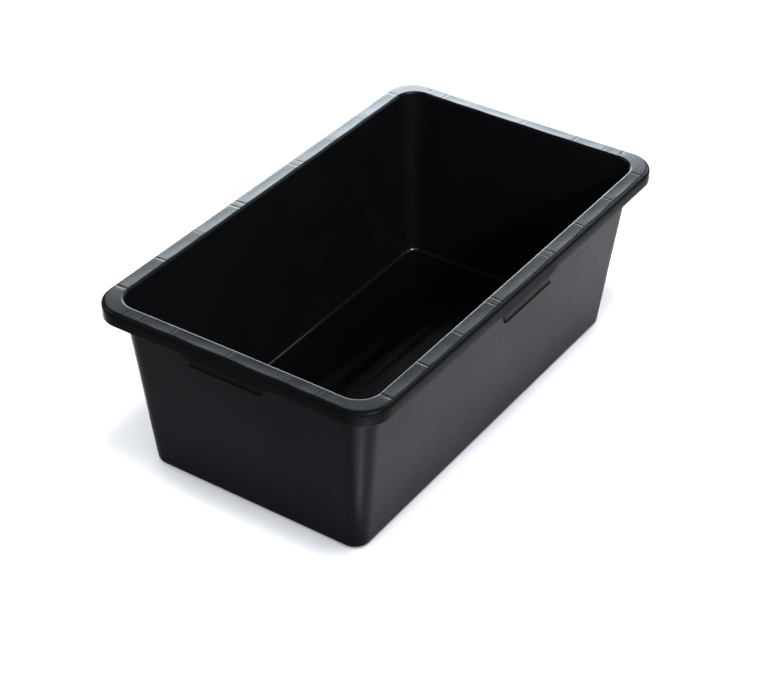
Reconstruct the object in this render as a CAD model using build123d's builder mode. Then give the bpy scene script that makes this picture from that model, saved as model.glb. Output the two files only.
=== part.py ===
"""Rectangular mortar mixing tub, nominal 65 litres, injection-moulded in one black plastic.

The real tub is a single moulding. Its working regions are modelled here as separate solids that
meet face to face, with no overlap: the floor pan, the side walls, the flat rim, the skirt turned
down round the rim, the four hand grips that hang from the skirt, and the ribs hidden under the rim.

Frame: millimetres, +Z up, +X along the tub's length. The origin is the centre of the underside, so
the tub stands on z = 0. The front is the -Y side and the left is the -X side.
"""

import os
from math import radians, tan

from build123d import *

# Overall size, over the skirt and from the floor to the top of the rim
tub_length = 750.0
tub_width = 446.0
tub_height = 270.0

# Tapered body: sizes of its outer face
wall_thickness = 3.0
floor_thickness = 3.0
wall_draft = 5.85  # degrees from the vertical
wall_corner_at_top = 35.0  # radius of the upright corners, at the rim's height
wall_corner_at_foot = 23.0  # the same corners, at the underside
foot_edge_round = 8.0  # outer edge between the floor and the walls
cavity_floor_round = 6.0  # inner fillet between the floor and the walls
pan_depth = 12.0  # height at which the floor pan hands over to the side walls
collar_depth = 46.0  # rim's top to the foot of the thicker collar that stacked tubs rest on
collar_step = 0.8  # how far the collar stands out from the wall below it

# Rim: a flat band round the mouth, rounded over into the skirt
rim_reach = 22.0  # outer wall face, carried up to the rim's top, to the skirt's outer face
rim_plate = 3.5
rim_corner = 46.0
rim_edge_round = 6.5
rim_mouth_round = 3.0
rim_cap_depth = 8.0  # depth at which the rounded rim hands over to the skirt
skirt_thickness = 3.0
skirt_depth = 21.0  # rim's top to the skirt's lower edge

# Hand grips: the skirt's deeper stretch at the middle of each side
front_grip_length = 119.0  # along the lower edge
side_grip_length = 114.0
front_grip_drop = 16.0  # below the skirt's lower edge
side_grip_drop = 13.0
grip_draw_in = 3.0  # how far each end leans in from the flare to the lower edge
grip_flare_length = 10.0  # small slope where a grip grows out of the skirt
grip_flare_drop = 3.5
grip_corner_round = 1.5
grip_edge_round = 1.0

# Ribs that tie the wall, the rim and the skirt together
rib_thickness = 2.5
rib_foot_clearance = 3.0  # the ribs stop this far above the skirt's lower edge
rib_pair_pitch = 12.5  # front and back: two ribs stand close together beside each end of a grip
front_rib_to_grip = 3.5  # first rib's middle to the end of the grip's lower edge
side_rib_to_grip = 7.0
front_rib_to_corner = 8.5  # last rib's middle to the start of the rim's corner
side_rib_to_corner = 13.0
front_rib_bays = 3  # equal bays from the pair beside the grip to the last rib
side_rib_bays = 2

# Levels and places that follow
collar_foot = tub_height - collar_depth
rim_underside = tub_height - rim_plate
cap_joint = tub_height - rim_cap_depth
skirt_foot = tub_height - skirt_depth
rib_foot = skirt_foot + rib_foot_clearance
skirt_hollow_round = rim_edge_round - max(skirt_thickness, rim_plate)


def wall_half_size(full_size: float, level: float) -> float:
    """Middle of the tub to the outer wall face at a height, from the tub's full length or width."""
    return full_size / 2 - rim_reach - (tub_height - level) * tan(radians(wall_draft))


def body_outline(level: float, inset: float = 0.0) -> Sketch:
    """Outline of the tapered body at a height, moved in from its outer face."""
    rise = level / tub_height
    corner = wall_corner_at_foot + (wall_corner_at_top - wall_corner_at_foot) * rise
    with BuildSketch(Plane.XY.offset(level)) as outline:
        RectangleRounded(
            2 * (wall_half_size(tub_length, level) - inset),
            2 * (wall_half_size(tub_width, level) - inset),
            corner - inset,
        )
    return outline.sketch


def rim_outline(level: float, inset: float = 0.0) -> Sketch:
    """Outline of the rim and the skirt at a height, moved in from the skirt's outer face."""
    with BuildSketch(Plane.XY.offset(level)) as outline:
        RectangleRounded(tub_length - 2 * inset, tub_width - 2 * inset, rim_corner - inset)
    return outline.sketch


def grip_outline(plane: Plane, length: float, drop: float) -> Sketch:
    """Face of one hand grip, drawn below the skirt with x along the side and y up."""
    lower_end = length / 2
    upper_end = lower_end + grip_draw_in
    with BuildSketch(plane) as outline:
        with BuildLine():
            Polyline(
                (-lower_end, skirt_foot - drop),
                (lower_end, skirt_foot - drop),
                (upper_end, skirt_foot - grip_flare_drop),
                (upper_end + grip_flare_length, skirt_foot),
                (-upper_end - grip_flare_length, skirt_foot),
                (-upper_end, skirt_foot - grip_flare_drop),
                close=True,
            )
        make_face()
        fillet(outline.vertices().group_by(Axis.Y)[0], grip_corner_round)
    return outline.sketch


def rib_outline(plane: Plane, full_size: float) -> Sketch:
    """Face of one rib, drawn with x outward from the middle of the wall's thickness and y up."""
    skirt_face = full_size / 2 - skirt_thickness
    with BuildSketch(plane) as outline:
        with BuildLine():
            Polyline(
                (wall_half_size(full_size, rib_foot) - wall_thickness / 2, rib_foot),
                (skirt_face, rib_foot),
                (skirt_face, rim_underside - skirt_hollow_round),
                (skirt_face - skirt_hollow_round, rim_underside),
                (wall_half_size(full_size, rim_underside) - wall_thickness / 2, rim_underside),
                close=True,
            )
        make_face()
    return outline.sketch


def rib_stations(first: float, full_size: float, to_corner: float, bays: int) -> list[float]:
    """Distances from the middle of a side to its ribs, in equal bays from the first to the last."""
    last = full_size / 2 - rim_corner - to_corner
    return [first + (last - first) * bay / bays for bay in range(bays + 1)]


# The space that the mortar is mixed in, taken out of the pan, the walls and the rim
with BuildPart() as mixing_cavity:
    loft(
        [body_outline(floor_thickness, wall_thickness), body_outline(tub_height, wall_thickness)],
        ruled=True,
    )
    fillet(mixing_cavity.edges().group_by(Axis.Z)[0], cavity_floor_round)

# Floor pan: the flat floor with its rounded, upturned edge
with BuildPart() as floor_pan:
    loft([body_outline(0), body_outline(pan_depth)], ruled=True)
    fillet(floor_pan.edges().group_by(Axis.Z)[0], foot_edge_round)
    add(mixing_cavity.part, mode=Mode.SUBTRACT)

# Side walls: four flat, sloping sides and four rounded corners, thickened to a collar at the top
with BuildPart() as side_walls:
    loft([body_outline(pan_depth), body_outline(rim_underside)], ruled=True)
    loft(
        [body_outline(collar_foot, -collar_step), body_outline(rim_underside, -collar_step)],
        ruled=True,
    )
    add(mixing_cavity.part, mode=Mode.SUBTRACT)

# Rim: the flat band that the walls carry, rounded over at its outer edge
with BuildPart() as rim_flange:
    extrude(rim_outline(cap_joint), amount=rim_cap_depth)
    fillet(rim_flange.edges().group_by(Axis.Z)[-1], rim_edge_round)
    extrude(
        rim_outline(cap_joint, skirt_thickness),
        amount=rim_cap_depth - rim_plate,
        mode=Mode.SUBTRACT,
    )
    hollow_ceiling = rim_flange.faces().filter_by(Plane.XY).sort_by(Axis.Z)[-2]
    fillet(hollow_ceiling.edges(), skirt_hollow_round)
    add(mixing_cavity.part, mode=Mode.SUBTRACT)
    rim_top = rim_flange.faces().filter_by(Plane.XY).sort_by(Axis.Z)[-1]
    fillet(rim_top.inner_wires()[0].edges(), rim_mouth_round)

# Skirt: the upright band that hangs from the rim's outer edge
with BuildPart() as rim_skirt:
    extrude(rim_outline(skirt_foot), amount=skirt_depth - rim_cap_depth)
    extrude(
        rim_outline(skirt_foot, skirt_thickness),
        amount=skirt_depth - rim_cap_depth,
        mode=Mode.SUBTRACT,
    )

# Hand grips: one plate below the skirt at the middle of each side
with BuildPart() as grip_front:
    extrude(
        grip_outline(Plane.XZ.offset(tub_width / 2), front_grip_length, front_grip_drop),
        amount=-skirt_thickness,
    )
    fillet(grip_front.edges().filter_by(Axis.X).group_by(Axis.Z)[0], grip_edge_round)

with BuildPart() as grip_left:
    extrude(
        grip_outline(Plane.YZ.offset(-tub_length / 2), side_grip_length, side_grip_drop),
        amount=skirt_thickness,
    )
    fillet(grip_left.edges().filter_by(Axis.Y).group_by(Axis.Z)[0], grip_edge_round)

with BuildPart() as grip_back:
    mirror(grip_front.part, about=Plane.XZ)

with BuildPart() as grip_right:
    mirror(grip_left.part, about=Plane.YZ)

# Ribs under the rim: a row on each side, clear of the fingers behind the hand grip, cut to the wall
grip_rib = front_grip_length / 2 + front_rib_to_grip
long_side_stations = [grip_rib] + rib_stations(
    grip_rib + rib_pair_pitch, tub_length, front_rib_to_corner, front_rib_bays
)
short_side_stations = rib_stations(
    side_grip_length / 2 + side_rib_to_grip, tub_width, side_rib_to_corner, side_rib_bays
)

with BuildPart() as ribs_back:
    for station in long_side_stations:
        for place in (-station, station):
            extrude(
                rib_outline(Plane.YZ.offset(place), tub_width),
                amount=rib_thickness / 2,
                both=True,
            )
    add(side_walls.part, mode=Mode.SUBTRACT)

with BuildPart() as ribs_right:
    for station in short_side_stations:
        for place in (-station, station):
            extrude(
                rib_outline(Plane.XZ.offset(place), tub_length),
                amount=rib_thickness / 2,
                both=True,
            )
    add(side_walls.part, mode=Mode.SUBTRACT)

with BuildPart() as ribs_front:
    mirror(ribs_back.part, about=Plane.XZ)

with BuildPart() as ribs_left:
    mirror(ribs_right.part, about=Plane.YZ)

floor_pan.part.label = "floor_pan"
side_walls.part.label = "side_walls"
rim_flange.part.label = "rim_flange"
rim_skirt.part.label = "rim_skirt"
grip_front.part.label = "grip_front"
grip_back.part.label = "grip_back"
grip_left.part.label = "grip_left"
grip_right.part.label = "grip_right"
ribs_front.part.label = "ribs_front"
ribs_back.part.label = "ribs_back"
ribs_left.part.label = "ribs_left"
ribs_right.part.label = "ribs_right"

os.makedirs("parts", exist_ok=True)
export_step(floor_pan.part, "parts/floor_pan.step")
export_step(side_walls.part, "parts/side_walls.step")
export_step(rim_flange.part, "parts/rim_flange.step")
export_step(rim_skirt.part, "parts/rim_skirt.step")
export_step(grip_front.part, "parts/grip_front.step")
export_step(grip_back.part, "parts/grip_back.step")
export_step(grip_left.part, "parts/grip_left.step")
export_step(grip_right.part, "parts/grip_right.step")
export_step(ribs_front.part, "parts/ribs_front.step")
export_step(ribs_back.part, "parts/ribs_back.step")
export_step(ribs_left.part, "parts/ribs_left.step")
export_step(ribs_right.part, "parts/ribs_right.step")
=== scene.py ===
"""Looks of the rectangular mortar mixing tub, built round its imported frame.

Metres, +Z up, the tub standing on z = 0 with its length along X. The front is the -Y side and the
left is the -X side. Each region of the moulding is one class that makes its own mesh and puts its
finish on it.
"""

import logging
import random
from collections.abc import Callable, Iterable, Sequence
from dataclasses import dataclass, field, replace
from enum import Enum
from math import atan2, cos, degrees, exp, hypot, pi, radians, sin, tan

import bmesh
import bpy
from mathutils import Matrix, Vector

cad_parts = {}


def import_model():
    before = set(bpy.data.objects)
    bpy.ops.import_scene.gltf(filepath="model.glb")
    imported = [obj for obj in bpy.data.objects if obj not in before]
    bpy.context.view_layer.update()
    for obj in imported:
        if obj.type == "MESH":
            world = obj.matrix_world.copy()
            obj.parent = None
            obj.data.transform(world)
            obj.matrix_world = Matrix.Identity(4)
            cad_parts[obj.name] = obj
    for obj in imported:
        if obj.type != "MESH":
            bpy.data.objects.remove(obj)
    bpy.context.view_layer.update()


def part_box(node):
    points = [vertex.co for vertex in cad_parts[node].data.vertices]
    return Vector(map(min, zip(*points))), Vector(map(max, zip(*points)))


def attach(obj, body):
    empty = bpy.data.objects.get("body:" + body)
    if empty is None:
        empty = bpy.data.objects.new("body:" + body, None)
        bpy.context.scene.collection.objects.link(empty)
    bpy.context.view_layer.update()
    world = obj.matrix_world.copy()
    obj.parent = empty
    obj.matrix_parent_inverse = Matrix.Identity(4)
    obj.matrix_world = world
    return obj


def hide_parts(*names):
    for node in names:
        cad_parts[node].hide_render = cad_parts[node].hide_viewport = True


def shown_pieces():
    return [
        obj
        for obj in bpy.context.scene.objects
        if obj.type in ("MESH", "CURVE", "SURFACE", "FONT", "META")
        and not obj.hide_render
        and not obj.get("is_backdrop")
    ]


LOG = logging.getLogger("mixing_tub")
MM = 0.001
ROOT_BODY = "root"
SHARP_FROM = radians(34.0)  # an edge that turns by more is drawn sharp

Triple = tuple[float, float, float]
Pair = tuple[float, float]


# --- Nodes ---


@dataclass(frozen=True)
class Wire:
    """One node socket that can be used in arithmetic. Each operator adds its Math node."""

    board: "Board"
    socket: bpy.types.NodeSocket

    def _math(self, operation: str, first: "Wire | float", second: "Wire | float") -> "Wire":
        """Adds one Math node with an upper and a lower value."""
        return self.board.add("ShaderNodeMath", {0: first, 1: second}, operation=operation).out()

    def __add__(self, other: "Wire | float") -> "Wire":
        """This value plus another."""
        return self._math("ADD", self, other)

    __radd__ = __add__

    def __sub__(self, other: "Wire | float") -> "Wire":
        """This value less another."""
        return self._math("SUBTRACT", self, other)

    def __rsub__(self, other: float) -> "Wire":
        """Another value less this one."""
        return self._math("SUBTRACT", other, self)

    def __mul__(self, other: "Wire | float") -> "Wire":
        """This value times another."""
        return self._math("MULTIPLY", self, other)

    __rmul__ = __mul__

    def __truediv__(self, other: "Wire | float") -> "Wire":
        """This value over another."""
        return self._math("DIVIDE", self, other)

    def __rtruediv__(self, other: float) -> "Wire":
        """Another value over this one."""
        return self._math("DIVIDE", other, self)

    def __pow__(self, exponent: float) -> "Wire":
        """This value to a power."""
        return self._math("POWER", self, exponent)


NodeValue = Wire | float | int | bool | str | tuple[float, ...] | bpy.types.Material


@dataclass(frozen=True)
class Part:
    """One node on a board."""

    board: "Board"
    node: bpy.types.Node

    def out(self, name: str | int = 0) -> Wire:
        """One output of the node."""
        return Wire(self.board, self.node.outputs[name])


@dataclass(frozen=True)
class Board:
    """A node tree, shader or geometry, that nodes are added to."""

    tree: bpy.types.NodeTree

    @classmethod
    def of_material(cls, name: str) -> tuple["Board", bpy.types.Material]:
        """Starts a material.

        Args:
            name: The material's name.

        Returns:
            Its nodes, none as yet, and the material.
        """
        made = bpy.data.materials.new(name)
        made.use_nodes = True
        made.node_tree.nodes.clear()
        return cls(made.node_tree), made

    def add(
        self, kind: str, inputs: dict[str | int, NodeValue] | None = None, **settings: object
    ) -> Part:
        """Adds a node.

        Args:
            kind: The node's type.
            inputs: Values or wires for its sockets, by name or number.
            settings: Its own properties, which are set first.

        Returns:
            The new node.
        """
        node = self.tree.nodes.new(kind)
        for key, value in settings.items():
            setattr(node, key, value)
        for key, value in (inputs or {}).items():
            if isinstance(value, Wire):
                self.tree.links.new(value.socket, node.inputs[key])
            else:
                node.inputs[key].default_value = value
        return Part(self, node)

    def noise(self, place: Wire, size: Wire | float, detail: float, seed: float) -> Wire:
        """Smooth random values from 0 to 1.

        Args:
            place: Where on the piece, in metres.
            size: Width of one blotch.
            detail: How many finer layers it has.
            seed: Fixed offset, so that two patterns differ.

        Returns:
            The value at each place.
        """
        inputs = {"Vector": place, "W": seed, "Scale": 1.0 / size, "Detail": detail, "Roughness": 0.5}
        return self.add("ShaderNodeTexNoise", inputs, noise_dimensions="4D").out()

    def clamped(self, value: Wire) -> Wire:
        """A value held between 0 and 1."""
        return self.add("ShaderNodeClamp", {0: value}).out()

    def place(self) -> Wire:
        """Where a point of an object is."""
        return self.add("ShaderNodeTexCoord").out("Object")

    def show(self, skin: Part) -> None:
        """Makes a shader the material's surface."""
        self.add("ShaderNodeOutputMaterial", {"Surface": skin.out()})


# --- Finishes ---


@dataclass(frozen=True)
class MouldedFinish:
    """Black polyolefin straight from the mould. The other finishes change parts of it."""

    name: str
    colour: Triple = (0.0006, 0.0006, 0.0008)
    chalked_colour: Triple = (0.0014, 0.0015, 0.0018)
    reflectance: float = 0.08  # on the shader's scale, where 0.5 is plain plastic
    sheen_colour: Triple = (0.82, 0.86, 1.0)
    roughness: float = 0.34
    roughness_swing: float = 0.10
    cloud_size: float = 90 * MM
    grain_size: float = 0.9 * MM
    grain_height: float = 0.006 * MM
    ripple_size: float = 34 * MM
    ripple_height: float = 0.05 * MM

    def stretched(self, board: Board, place: Wire, scale: Triple) -> Wire:
        """The same places with each axis scaled, to draw a pattern out along one of them."""
        return board.add("ShaderNodeMapping", {"Vector": place, "Scale": scale}).out()

    def soil(self, board: Board, place: Wire) -> Wire:
        """How chalky the surface is, from 0 to 1."""
        return board.noise(place, self.cloud_size, 4.0, 3.1)

    def gloss_change(self, board: Board, place: Wire) -> Wire:
        """What is added to the roughness: broad clouds with fine ones between them.

        Args:
            board: The material's nodes.
            place: Where on the piece.

        Returns:
            The change.
        """
        broad = board.noise(place, self.cloud_size, 3.0, 5.7)
        fine = board.noise(place, self.cloud_size / 7, 3.0, 8.4)
        return (broad + fine - 1.0) * self.roughness_swing

    def relief(self, board: Board, place: Wire) -> Wire:
        """Height of the skin above the piece's mesh, in metres."""
        grain = board.noise(place, self.grain_size, 2.0, 1.3) * self.grain_height
        return grain + board.noise(place, self.ripple_size, 1.0, 2.2) * self.ripple_height

    def place(self, board: Board) -> Wire:
        """Where a point of the piece is."""
        return board.place()

    def material(self) -> bpy.types.Material:
        """Builds the finish.

        Returns:
            The new material.
        """
        board, made = Board.of_material(self.name)
        place = self.place(board)
        tones = {0: self.soil(board, place), 6: (*self.colour, 1.0), 7: (*self.chalked_colour, 1.0)}
        colour = board.add("ShaderNodeMix", tones, data_type="RGBA").out(2)
        bump = board.add("ShaderNodeBump", {"Distance": 1.0, "Height": self.relief(board, place)})
        looks = {
            "Base Color": colour,
            "Roughness": self.gloss_change(board, place) + self.roughness,
            "Normal": bump.out(),
            "Specular IOR Level": self.reflectance,
            "Specular Tint": (*self.sheen_colour, 1.0),
        }
        board.show(board.add("ShaderNodeBsdfPrincipled", looks))
        made.diffuse_color = (*self.colour, 1.0)
        return made


@dataclass(frozen=True)
class OuterWallFinish(MouldedFinish):
    """Outside of the walls: satin, with faint upright marks from the mould's draw."""

    # the blue in these two colours stands in for the bluish light that the walls mirror: a painted
    # reflection tint
    colour: Triple = (0.0006, 0.0009, 0.0022)
    chalked_colour: Triple = (0.0015, 0.0020, 0.0036)
    reflectance: float = 0.045
    draw_mark_size: float = 2.2 * MM
    draw_mark_height: float = 0.0035 * MM
    draw_mark_stretch: float = 0.03

    def relief(self, board: Board, place: Wire) -> Wire:
        """The moulded skin with draw marks that run up the wall."""
        upright = self.stretched(board, place, (1.0, 1.0, self.draw_mark_stretch))
        marks = board.noise(upright, self.draw_mark_size, 2.0, 4.0)
        return super().relief(board, place) + marks * self.draw_mark_height


@dataclass(frozen=True)
class FloorFinish(MouldedFinish):
    """Inside of the floor: long flow lines, and lighter scuffs along the tub's length: wear plus painted
    reflection.
    """

    colour: Triple = (0.0003, 0.0003, 0.0004)
    # the scuffs' lighter colour is partly wear and partly a painted reflection of the bright room
    chalked_colour: Triple = (0.017, 0.0155, 0.019)
    reflectance: float = 0.05
    roughness: float = 0.43
    streak_width: float = 7.0 * MM
    streak_stretch: float = 0.03
    streak_height: float = 0.03 * MM
    streak_gloss: float = 0.35
    # the lighter scuffs gather a little to the front left: partly wear, partly a painted reflection
    scuff_sheen_middle: Pair = (-0.06, -0.03)
    scuff_sheen_reach: Pair = (0.30, 0.135)
    scuff_ragged: float = 0.3  # how much the scuffed patch's outline is broken up
    clean_share: float = 0.44  # flow lines below this stay black
    haze: float = 0.03  # chalk outside the scuffs

    def streaks(self, board: Board, place: Wire) -> Wire:
        """The flow lines: broad ones with fine ones between them.

        Args:
            board: The material's nodes.
            place: Where on the floor.

        Returns:
            Their strength, from 0 to 1.
        """
        drawn_out = self.stretched(board, place, (self.streak_stretch, 1.0, 1.0))
        broad = board.noise(drawn_out, self.streak_width * 3, 3.0, 6.6)
        return broad * 0.6 + board.noise(drawn_out, self.streak_width, 3.0, 9.2) * 0.4

    def soil(self, board: Board, place: Wire) -> Wire:
        """Lighter scuffs along the flow lines: wear where the mortar is scooped out, plus a painted
        reflection.

        Args:
            board: The material's nodes.
            place: Where on the floor.

        Returns:
            How scuffed it is, from 0 to 1.
        """
        # the lighter patch is partly wear and partly a painted reflection of the bright room
        apart = board.add("ShaderNodeSeparateXYZ", {0: place})
        along = (apart.out("X") - self.scuff_sheen_middle[0]) / self.scuff_sheen_reach[0]
        across = (apart.out("Y") - self.scuff_sheen_middle[1]) / self.scuff_sheen_reach[1]
        nearness = (1.0 - along * along - across * across) * (1 - self.scuff_ragged)
        worn = board.noise(place, self.cloud_size, 2.0, 12.4) * 1.6 - 0.5
        patch = board.clamped(nearness + worn * self.scuff_ragged)
        lines = board.clamped((self.streaks(board, place) - self.clean_share) * 5.0)
        return patch * patch * lines + super().soil(board, place) * self.haze

    def gloss_change(self, board: Board, place: Wire) -> Wire:
        """Duller and glossier lines."""
        lines = (self.streaks(board, place) - 0.5) * self.streak_gloss
        return super().gloss_change(board, place) + lines

    def relief(self, board: Board, place: Wire) -> Wire:
        """The moulded skin with shallow flow lines."""
        return super().relief(board, place) + self.streaks(board, place) * self.streak_height


@dataclass(frozen=True)
class RimFinish(MouldedFinish):
    """Top of the rim: short handling scratches that cross the band, and chalky patches."""

    reflectance: float = 0.115
    scratch_size: float = 1.1 * MM
    scratch_stretch: float = 0.08
    scratch_height: float = 0.006 * MM
    patch_size: float = 26 * MM
    patch_contrast: float = 1.5

    def place(self, board: Board) -> Wire:
        """Distance round the rim and distance across it, from the piece's own map."""
        return board.add("ShaderNodeUVMap", uv_map=Loft.MAP_NAME).out()

    def soil(self, board: Board, place: Wire) -> Wire:
        """Chalk in patches along the band, broken up by the scratches."""
        patches = board.noise(place, self.patch_size, 3.0, 3.1)
        return (patches * 0.7 + self.scratches(board, place) * 0.3) ** self.patch_contrast

    def scratches(self, board: Board, place: Wire) -> Wire:
        """The scratches, from 0 to 1."""
        across = self.stretched(board, place, (1.0, self.scratch_stretch, 1.0))
        return board.noise(across, self.scratch_size, 3.0, 7.7)

    def relief(self, board: Board, place: Wire) -> Wire:
        """The moulded skin with scratches."""
        return super().relief(board, place) + self.scratches(board, place) * self.scratch_height


class Slot(Enum):
    """Material slots of the record."""

    BODY = "body_plastic"
    RIM = "rim_plastic"


class Finishes:
    """Every finish of the tub, built once and shared by its pieces."""

    def __init__(self) -> None:
        """Builds the finishes."""
        self.outer_wall = OuterWallFinish("outer_wall_satin").material()
        self.inner_wall = MouldedFinish("inner_wall_satin", roughness=0.38).material()
        self.floor = FloorFinish(
            "floor_flow_lines", grain_height=0.001 * MM, ripple_height=0.02 * MM
        ).material()
        self.cavity_edge = MouldedFinish(
            "cavity_edge_polished", roughness=0.24, roughness_swing=0.02, reflectance=0.24
        ).material()
        self.foot = MouldedFinish("foot_scuffed", roughness=0.42, grain_height=0.012 * MM).material()
        self.rim = RimFinish("rim_scratched", roughness=0.33, sheen_colour=(0.76, 0.89, 1.0)).material()
        self.skirt = MouldedFinish("skirt_satin", roughness=0.36, reflectance=0.025).material()
        self.grip = MouldedFinish(
            "grip_satin", roughness=0.33, reflectance=0.022, cloud_size=30 * MM
        ).material()
        self.rib = MouldedFinish("rib_dull", roughness=0.48).material()


# --- Sizes and outlines ---


class Side(Enum):
    """The tub's four sides, by the way each one faces."""

    FRONT = (0, -1)
    RIGHT = (1, 0)
    BACK = (0, 1)
    LEFT = (-1, 0)

    @property
    def heading(self) -> Vector:
        """Outward from the middle of the tub."""
        return Vector((*self.value, 0.0))

    @property
    def direction(self) -> Vector:
        """Along the side, the tub on the left hand."""
        return Vector((-self.value[1], self.value[0], 0.0))

    @property
    def is_long(self) -> bool:
        """Whether this is the front or the back."""
        return self.value[0] == 0


@dataclass(frozen=True)
class TubSizes:
    """Sizes that several pieces share. Levels and overall sizes come from the frame."""

    half_length: float  # middle of the tub to the skirt's outer face
    half_width: float
    top: float
    rim_underside: float
    cap_joint: float
    skirt_foot: float
    pan_joint: float
    wall_slope: float = tan(radians(5.85))
    corner_at_top: float = 35 * MM
    corner_at_foot: float = 23 * MM
    wall: float = 3 * MM
    collar_foot_drop: float = 46 * MM
    collar_step: float = 0.8 * MM
    rim_reach: float = 22 * MM
    rim_corner: float = 46 * MM
    skirt: float = 3 * MM

    @classmethod
    def from_frame(cls) -> "TubSizes":
        """Reads the levels and the overall sizes from the CAD nodes.

        Returns:
            The tub's sizes.
        """
        flange_low, flange_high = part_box("rim_flange")
        return cls(
            half_length=flange_high.x,
            half_width=flange_high.y,
            top=flange_high.z,
            rim_underside=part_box("side_walls")[1].z,
            cap_joint=flange_low.z,
            skirt_foot=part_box("rim_skirt")[0].z,
            pan_joint=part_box("floor_pan")[1].z,
        )

    @property
    def collar_foot(self) -> float:
        """Level at which the thicker collar starts."""
        return self.top - self.collar_foot_drop

    def across(self, side: Side) -> float:
        """Middle of the tub to the skirt's outer face on a side."""
        return self.half_width if side.is_long else self.half_length

    def wall_half(self, full: float, level: float) -> float:
        """Middle of the tub to the outer wall at a level, from the middle to the skirt."""
        return full - self.rim_reach - (self.top - level) * self.wall_slope

    def wall_corner(self, level: float) -> float:
        """Radius of the body's upright corners at a level."""
        return self.corner_at_foot + (self.corner_at_top - self.corner_at_foot) * level / self.top


@dataclass(frozen=True)
class Outline:
    """One rounded rectangle, level and centred."""

    half_length: float
    half_width: float
    corner: float
    level: float

    @classmethod
    def of_body(cls, sizes: TubSizes, level: float, inset: float = 0.0) -> "Outline":
        """The tapered body at a level, moved in from its outer face."""
        fulls = (sizes.half_length, sizes.half_width)
        halves = (sizes.wall_half(full, level) - inset for full in fulls)
        return cls(*halves, sizes.wall_corner(level) - inset, level)

    @classmethod
    def of_rim(cls, sizes: TubSizes, level: float, inset: float = 0.0) -> "Outline":
        """The rim or the skirt at a level, moved in from the skirt's outer face."""
        moved = (size - inset for size in (sizes.half_length, sizes.half_width, sizes.rim_corner))
        return cls(*moved, level)

    @property
    def runs(self) -> Pair:
        """Middle of a long and of a short side to the corner."""
        return self.half_length - self.corner, self.half_width - self.corner

    def blend(self, other: "Outline", share: float) -> "Outline":
        """An outline part of the way to another one."""
        return Outline(
            self.half_length + (other.half_length - self.half_length) * share,
            self.half_width + (other.half_width - self.half_width) * share,
            self.corner + (other.corner - self.corner) * share,
            self.level + (other.level - self.level) * share,
        )


@dataclass(frozen=True)
class Circuit:
    """The way round the tub, the same for every outline: stations on the sides and the corners.

    Stations in the core of a side keep their place on every outline, and those beyond it close up
    or spread out with the straight stretch.
    """

    long_run: float  # middle of a long side to its corner, on the widest outline
    short_run: float
    long_stations: tuple[float, ...]
    short_stations: tuple[float, ...]
    core_share: float = 0.0  # share of a side that is its core
    corner_steps: int = 24

    @classmethod
    def even(cls, outline: Outline, spacing: float) -> "Circuit":
        """A circuit of the widest outline, with evenly spaced stations."""
        return cls(*outline.runs, *(cls._between(run, spacing) for run in outline.runs))

    @staticmethod
    def _between(run: float, spacing: float) -> tuple[float, ...]:
        """Even places on a side, its two ends left out."""
        count = round(2 * run / spacing)
        return tuple(run * (2 * step / count - 1) for step in range(1, count))

    @classmethod
    def close_at(
        cls, runs: Pair, marks: tuple[Sequence[float], Sequence[float]], spacing: float, fine: float
    ) -> "Circuit":
        """A circuit whose stations lie close together at the ribs' marks.

        Args:
            runs: Middle of a long and of a short side to its corner.
            marks: Places of the marks on a long and on a short side.
            spacing: Distance between stations elsewhere.
            fine: Distance between stations at a mark.

        Returns:
            The circuit.
        """
        reach = 5  # close stations on either side of a mark
        sides = []
        for run, places in zip(runs, marks):
            chosen = {
                round(place + step * fine, 7) for place in places for step in range(-reach, reach + 1)
            }
            chosen |= {
                place
                for place in cls._between(run, spacing)
                if all(abs(place - mark) > (reach + 1) * fine for mark in places)
            }
            sides.append(tuple(sorted(place for place in chosen if abs(place) < run - fine / 2)))
        return cls(*runs, *sides, core_share=0.84)

    def _along(self, station: float, reference: float, run: float) -> float:
        """Where a station falls on a straight stretch of another length.

        Args:
            station: Its place on the widest outline.
            reference: Half of the straight stretch there.
            run: Half of this straight stretch.

        Returns:
            Its place on this one.
        """
        core = self.core_share * min(reference, run)
        if abs(station) <= core:
            return station
        beyond = (abs(station) - core) * (run - core) / (reference - core)
        return (core + beyond) * (1 if station > 0 else -1)

    def steps(self) -> Iterable[tuple[Side, float, float | None]]:
        """Goes round the tub.

        Yields:
            The side, the turn towards the next one in radians, and the station, None at a corner.
        """
        for side in Side:
            for station in self.long_stations if side.is_long else self.short_stations:
                yield side, 0.0, station
            for step in range(self.corner_steps + 1):
                yield side, pi / 2 * step / self.corner_steps, None

    def ring(self, outline: Outline) -> list[Vector]:
        """The places on an outline.

        Args:
            outline: The rounded rectangle.

        Returns:
            Its points, anticlockwise from above.
        """
        points = []
        for side, turn, station in self.steps():
            half_across = outline.half_width if side.is_long else outline.half_length
            run = outline.runs[0 if side.is_long else 1]
            if station is None:
                outward = cos(turn) * side.heading + sin(turn) * side.direction
                centre = (half_across - outline.corner) * side.heading + run * side.direction
                point = centre + outline.corner * outward
            else:
                place = self._along(station, self.long_run if side.is_long else self.short_run, run)
                point = half_across * side.heading + place * side.direction
            point.z = outline.level
            points.append(point)
        return points


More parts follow.
